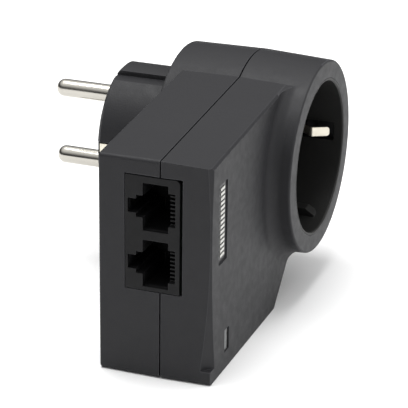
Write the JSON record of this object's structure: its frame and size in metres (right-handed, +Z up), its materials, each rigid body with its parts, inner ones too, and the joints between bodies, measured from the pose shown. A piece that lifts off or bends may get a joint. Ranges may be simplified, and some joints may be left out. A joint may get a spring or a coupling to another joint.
{
  "type": "powerline adapter",
  "caption": "Plug-through mains adapter: flat box with two network jacks in its side, pin plug behind and an earthed round socket in front",
  "frame": {"origin": "centre of the plug's pin face, midway between the two pins", "axes": "+Y along the pins into the wall, +Z up as it stands, +X towards the head's side"},
  "size_m": [0.092, 0.0741, 0.0624],
  "materials": {
    "badge_dark": "satin",
    "badge_silver": "satin",
    "board_green": "solder mask",
    "can_sleeve": "shrink sleeve",
    "clear_pipe": "frosted",
    "contact_metal": "nickel plated bronze",
    "copper_wire": "enamelled",
    "ferrite": "sintered",
    "film_yellow": "moulded box",
    "fuse_brown": "moulded",
    "gold_contact": "gold plated",
    "housing_plastic": "fine grain",
    "inner_plastic": "satin",
    "jack_plastic": "satin",
    "led_white": "epoxy lens",
    "part_black": "moulded epoxy",
    "pin_nickel": "nickel plated",
    "screw_steel": "zinc plated",
    "socket_plastic": "fine grain",
    "spring_steel": "drawn wire",
    "tin_shield": "tin plated",
    "tinned_lead": "tinned",
    "varistor_blue": "epoxy dipped",
    "wire_blue": "wire insulation",
    "wire_brown": "wire insulation"
  },
  "bodies": {
    "housing": {"rear_shell": "housing_plastic", "front_shell": "housing_plastic", "plug_body": "housing_plastic", "socket_insert": "socket_plastic", "contact_carrier": "inner_plastic", "plug_pin_upper": "pin_nickel", "plug_pin_lower": "pin_nickel", "plug_earth_left": "contact_metal", "plug_earth_right": "contact_metal", "earth_strap": "contact_metal", "earth_link": "contact_metal", "socket_contact_upper": "contact_metal", "socket_contact_lower": "contact_metal", "shutter_spring": "spring_steel", "carrier_screws": "screw_steel", "housing_screws": "screw_steel", "jack_panel": "jack_plastic", "jack_housing_upper": "jack_plastic", "jack_housing_lower": "jack_plastic", "jack_solder_tails": "tinned_lead", "badge_plate": "badge_dark", "badge_bars": "badge_silver", "light_pipe": "clear_pipe", "main_board": "board_green", "data_board": "board_green", "board_link_header": "part_black", "switching_chip": "part_black", "optocoupler": "part_black", "bridge_rectifier": "part_black", "network_magnetics": "part_black", "comms_chip": "part_black", "memory_chip": "part_black", "coupling_transformer": "part_black", "transformer_bobbin": "part_black", "thermal_fuse": "part_black", "fuse": "fuse_brown", "varistors": "varistor_blue", "y_capacitor": "varistor_blue", "x_capacitor": "film_yellow", "choke_core": "ferrite", "transformer_core": "ferrite", "choke_windings": "copper_wire", "bulk_capacitor": "can_sleeve", "output_capacitors": "can_sleeve", "shield_can": "tin_shield", "crystal": "tin_shield", "status_led": "led_white", "line_wire": "wire_brown", "neutral_wire": "wire_blue"},
    "shutter": {"socket_shutter": "inner_plastic"},
    "clip_left": {"earth_clip_left": "contact_metal"},
    "clip_right": {"earth_clip_right": "contact_metal"},
    "contacts_upper": {"jack_contacts_upper": "gold_contact"},
    "contacts_lower": {"jack_contacts_lower": "gold_contact"}
  },
  "joints": [
    {"name": "shutter_turn", "type": "hinge", "parent": "housing", "child": "shutter", "pos_m": [0, -0.0344, 0], "axis": [0, 1, 0], "range_deg": [0, 40], "stiffness_Nm_per_rad": 0.01, "springref_deg": -5.73},
    {"name": "clip_left_spread", "type": "hinge", "parent": "housing", "child": "clip_left", "pos_m": [-0.0204, -0.0326, 0], "axis": [0, 0, -1], "range_deg": [0, 5], "stiffness_Nm_per_rad": 1},
    {"name": "clip_right_spread", "type": "hinge", "parent": "housing", "child": "clip_right", "pos_m": [0.0204, -0.0326, 0], "axis": [0, 0, 1], "range_deg": [0, 5], "stiffness_Nm_per_rad": 1},
    {"name": "contacts_upper_press", "type": "hinge", "parent": "housing", "child": "contacts_upper", "pos_m": [-0.0629, -0.0404, 0.0074], "axis": [0, 0, -1], "range_deg": [0, 8], "stiffness_Nm_per_rad": 0.05},
    {"name": "contacts_lower_press", "type": "hinge", "parent": "housing", "child": "contacts_lower", "pos_m": [-0.0629, -0.0404, -0.0069], "axis": [0, 0, -1], "range_deg": [0, 8], "stiffness_Nm_per_rad": 0.05}
  ]
}
